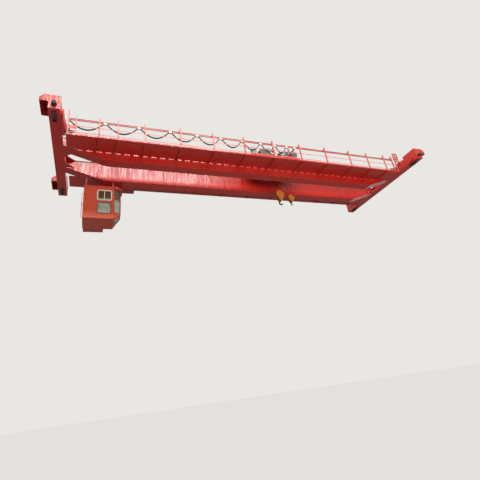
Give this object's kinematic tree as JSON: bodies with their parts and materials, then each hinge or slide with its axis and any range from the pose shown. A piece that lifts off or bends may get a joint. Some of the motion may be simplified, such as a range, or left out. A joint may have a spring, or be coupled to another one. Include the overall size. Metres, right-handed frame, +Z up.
{
  "type": "overhead bridge crane",
  "caption": "Red double-girder overhead bridge crane with walkways, cable track, hoist trolley with two hook blocks and a hanging driver's cabin.",
  "frame": {"origin": "centreline of the left runway rail at the level of the rail head, half way between the two girders", "axes": "+X along the bridge from the cabin end to the other end, +Y along the runway towards the walkway above the cabin, +Z up"},
  "size_m": [23.78, 8.4, 4.795],
  "materials": {
    "girder_red": "satin, weathered",
    "cabin_orange": "satin, weathered",
    "rail_pink": "faded, matte",
    "hook_orange": "satin, greasy",
    "machine_grey": "satin",
    "rail_steel": "worn bright",
    "rope_steel": "greased",
    "cable_black": "matte",
    "frame_cream": "satin",
    "glass": "clear"
  },
  "bodies": {
    "bridge": {"girders": "girder_red", "end_carriages": "girder_red", "runway_wheels": "rail_steel", "wheel_hoods": "girder_red", "carriage_buffers": "rail_pink", "corner_gussets": "girder_red", "trolley_rails": "rail_steel", "trolley_stops": "girder_red", "walkway_decks": "girder_red", "walkway_brackets": "girder_red", "railing_posts": "rail_pink", "railing_bars": "rail_pink", "cable_track": "rail_pink", "track_arms": "rail_pink", "cable_anchor": "rail_pink", "end_panel": "rail_pink", "hanging_cables": "cable_black", "cabin_shell": "cabin_orange", "cabin_glass": "glass", "window_frame": "frame_cream", "window_gaskets": "cable_black", "cabin_visor": "cabin_orange", "cabin_hangers": "rail_pink", "grab_rail": "rail_pink", "cabin_access": "rail_pink", "travel_gears": "girder_red", "travel_motors": "machine_grey"},
    "trolley": {"trolley_frame": "girder_red", "trolley_wheels": "rail_steel", "rope_drums": "rope_steel", "drum_pedestals": "girder_red", "hoist_gearboxes": "frame_cream", "hoist_motors": "machine_grey", "hoist_brakes": "machine_grey", "switch_box": "frame_cream", "trolley_drive": "machine_grey", "trolley_deck": "girder_red", "rope_anchors": "girder_red", "main_drum_ropes": "rope_steel", "main_anchor_ropes": "rope_steel", "aux_drum_ropes": "rope_steel", "aux_anchor_ropes": "rope_steel", "tow_arm": "girder_red"},
    "main_hook_block": {"main_block": "hook_orange", "main_sheaves": "hook_orange"},
    "main_hook_body": {"main_hook": "hook_orange"},
    "aux_hook_block": {"aux_block": "hook_orange", "aux_sheaves": "hook_orange"},
    "aux_hook_body": {"aux_hook": "hook_orange"},
    "carrier_1": {"cable_carrier_1": "frame_cream"},
    "carrier_2": {"cable_carrier_2": "frame_cream"},
    "carrier_3": {"cable_carrier_3": "frame_cream"},
    "carrier_4": {"cable_carrier_4": "frame_cream"},
    "carrier_5": {"cable_carrier_5": "frame_cream"},
    "carrier_6": {"cable_carrier_6": "frame_cream"},
    "carrier_7": {"cable_carrier_7": "frame_cream"},
    "carrier_8": {"cable_carrier_8": "frame_cream"},
    "carrier_9": {"cable_carrier_9": "frame_cream"},
    "carrier_10": {"cable_carrier_10": "frame_cream"}
  },
  "joints": [
    {"name": "trolley_travel", "type": "slide", "parent": "bridge", "child": "trolley", "axis": [1, 0, 0], "range_m": [-10.75, 7.05], "deforming": ["hanging_cables"]},
    {"name": "main_hoist", "type": "slide", "parent": "trolley", "child": "main_hook_block", "axis": [0, 0, -1], "range_m": [-0.5, 11], "deforming": ["main_drum_ropes", "main_anchor_ropes"]},
    {"name": "aux_hoist", "type": "slide", "parent": "trolley", "child": "aux_hook_block", "axis": [0, 0, -1], "range_m": [-0.5, 11], "deforming": ["aux_drum_ropes", "aux_anchor_ropes"]},
    {"name": "main_hook_swivel", "type": "hinge", "parent": "main_hook_block", "child": "main_hook_body", "pos_m": [13.35, 0, -1.57], "axis": [0, 0, 1], "continuous": true},
    {"name": "aux_hook_swivel", "type": "hinge", "parent": "aux_hook_block", "child": "aux_hook_body", "pos_m": [14.18, 0, -1.68], "axis": [0, 0, 1], "continuous": true},
    {"name": "carrier_1_roll", "type": "slide", "parent": "bridge", "child": "carrier_1", "axis": [1, 0, 0], "range_m": [-1.3767, 0.9034]},
    {"name": "carrier_2_roll", "type": "slide", "parent": "carrier_1", "child": "carrier_2", "axis": [1, 0, 0], "range_m": [-1.5026, 0.986]},
    {"name": "carrier_3_roll", "type": "slide", "parent": "carrier_2", "child": "carrier_3", "axis": [1, 0, 0], "range_m": [-1.4639, 0.9606]},
    {"name": "carrier_4_roll", "type": "slide", "parent": "carrier_3", "child": "carrier_4", "axis": [1, 0, 0], "range_m": [-1.3089, 0.8589]},
    {"name": "carrier_5_roll", "type": "slide", "parent": "carrier_4", "child": "carrier_5", "axis": [1, 0, 0], "range_m": [-1.2121, 0.7954]},
    {"name": "carrier_6_roll", "type": "slide", "parent": "carrier_5", "child": "carrier_6", "axis": [1, 0, 0], "range_m": [-1.1443, 0.751]},
    {"name": "carrier_7_roll", "type": "slide", "parent": "carrier_6", "child": "carrier_7", "axis": [1, 0, 0], "range_m": [-0.999, 0.6557]},
    {"name": "carrier_8_roll", "type": "slide", "parent": "carrier_7", "child": "carrier_8", "axis": [1, 0, 0], "range_m": [-0.7472, 0.4906]},
    {"name": "carrier_9_roll", "type": "slide", "parent": "carrier_8", "child": "carrier_9", "axis": [1, 0, 0], "range_m": [-0.6407, 0.4207]},
    {"name": "carrier_10_roll", "type": "slide", "parent": "carrier_9", "child": "carrier_10", "axis": [1, 0, 0], "range_m": [-0.3695, 0.2428]}
  ],
  "couplings": [
    {"joint": "carrier_1_roll", "follows": "trolley_travel", "ratio": 0.12793},
    {"joint": "carrier_2_roll", "follows": "trolley_travel", "ratio": 0.13964},
    {"joint": "carrier_3_roll", "follows": "trolley_travel", "ratio": 0.13604},
    {"joint": "carrier_4_roll", "follows": "trolley_travel", "ratio": 0.12162},
    {"joint": "carrier_5_roll", "follows": "trolley_travel", "ratio": 0.11261},
    {"joint": "carrier_6_roll", "follows": "trolley_travel", "ratio": 0.10631},
    {"joint": "carrier_7_roll", "follows": "trolley_travel", "ratio": 0.092793},
    {"joint": "carrier_8_roll", "follows": "trolley_travel", "ratio": 0.069369},
    {"joint": "carrier_9_roll", "follows": "trolley_travel", "ratio": 0.059459},
    {"joint": "carrier_10_roll", "follows": "trolley_travel", "ratio": 0.034234}
  ]
}
